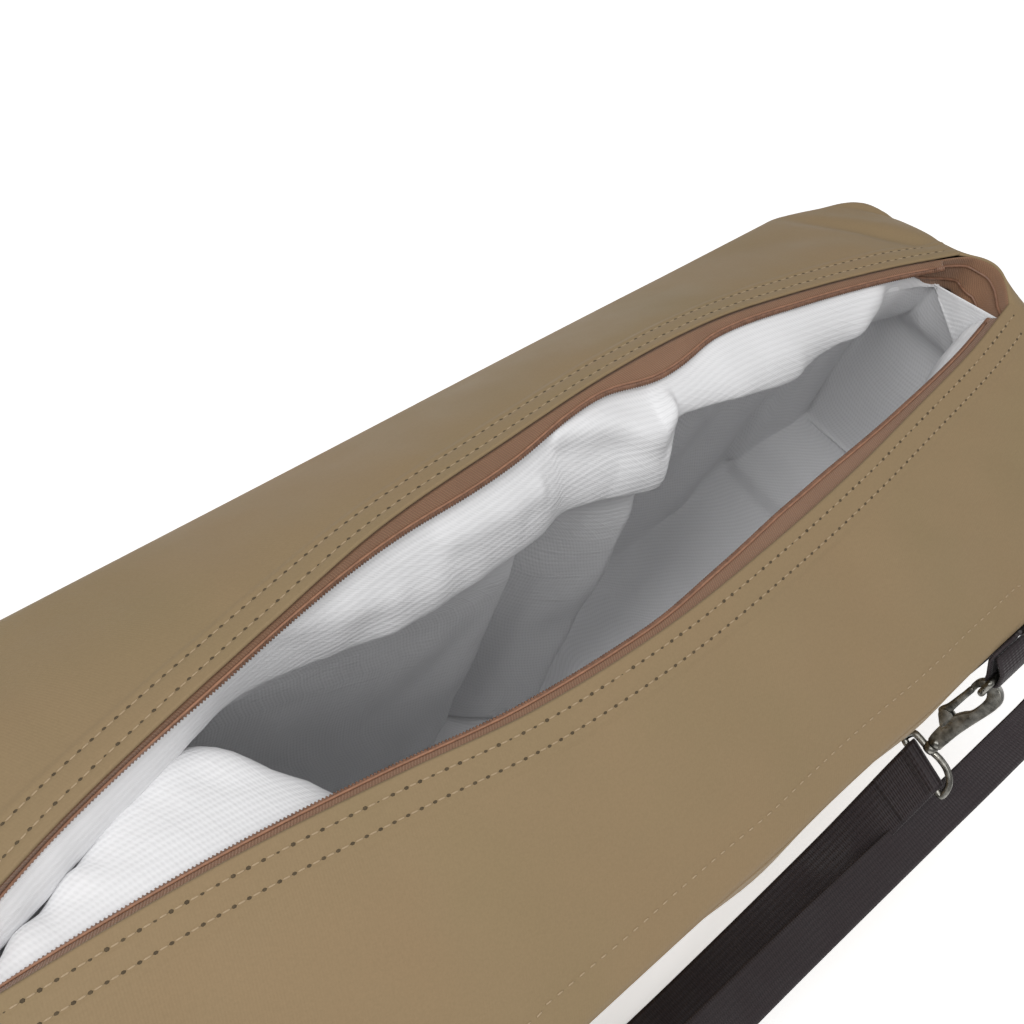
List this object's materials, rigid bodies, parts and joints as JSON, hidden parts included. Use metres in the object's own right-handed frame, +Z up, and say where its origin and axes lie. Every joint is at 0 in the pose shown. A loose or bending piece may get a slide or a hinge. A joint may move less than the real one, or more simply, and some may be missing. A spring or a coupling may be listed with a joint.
{
  "type": "soft cooler bag",
  "caption": "Soft canvas cooler bag with an opened zip along its ridge, a white lining hanging inside, a webbing handle and a strap clipped on with trigger snap hooks",
  "frame": {"origin": "on the ground under the middle of the base", "axes": "+X along the zip to the right, -Y towards the front wall with the handle and strap, +Z up"},
  "size_m": [0.7068, 0.3022, 0.2812],
  "materials": {
    "canvas": "tan coated canvas, satin, slightly mottled",
    "lining": "white woven lining, soft sheen",
    "zip_tape": "reddish brown woven zip tape",
    "zip_coil": "brown nylon coil",
    "webbing": "dark brown ribbed webbing",
    "nickel": "antique nickel plating, worn"
  },
  "bodies": {
    "bag": {"body_wrap": "canvas", "top_front": "canvas", "top_back": "canvas", "end_right": "canvas", "end_left": "canvas", "lining": "lining", "zip_tape_front": "zip_tape", "zip_tape_back": "zip_tape", "zip_coil_front": "zip_coil", "zip_coil_back": "zip_coil", "zip_slider": "nickel", "ring_tab_right": "webbing", "ring_tab_left": "webbing", "d_ring_right": "nickel", "d_ring_left": "nickel", "hook_body": "nickel", "hook_bail": "nickel", "hook_left": "nickel", "strap": "webbing", "handle": "webbing"},
    "gate": {"hook_gate": "nickel"}
  },
  "joints": [
    {"name": "hook_gate", "type": "hinge", "parent": "bag", "child": "gate", "pos_m": [0.15429, -0.1288, 0.18005], "axis": [0.891, 0, -0.454], "range_deg": [0, 14], "stiffness_Nm_per_rad": 0.01}
  ]
}
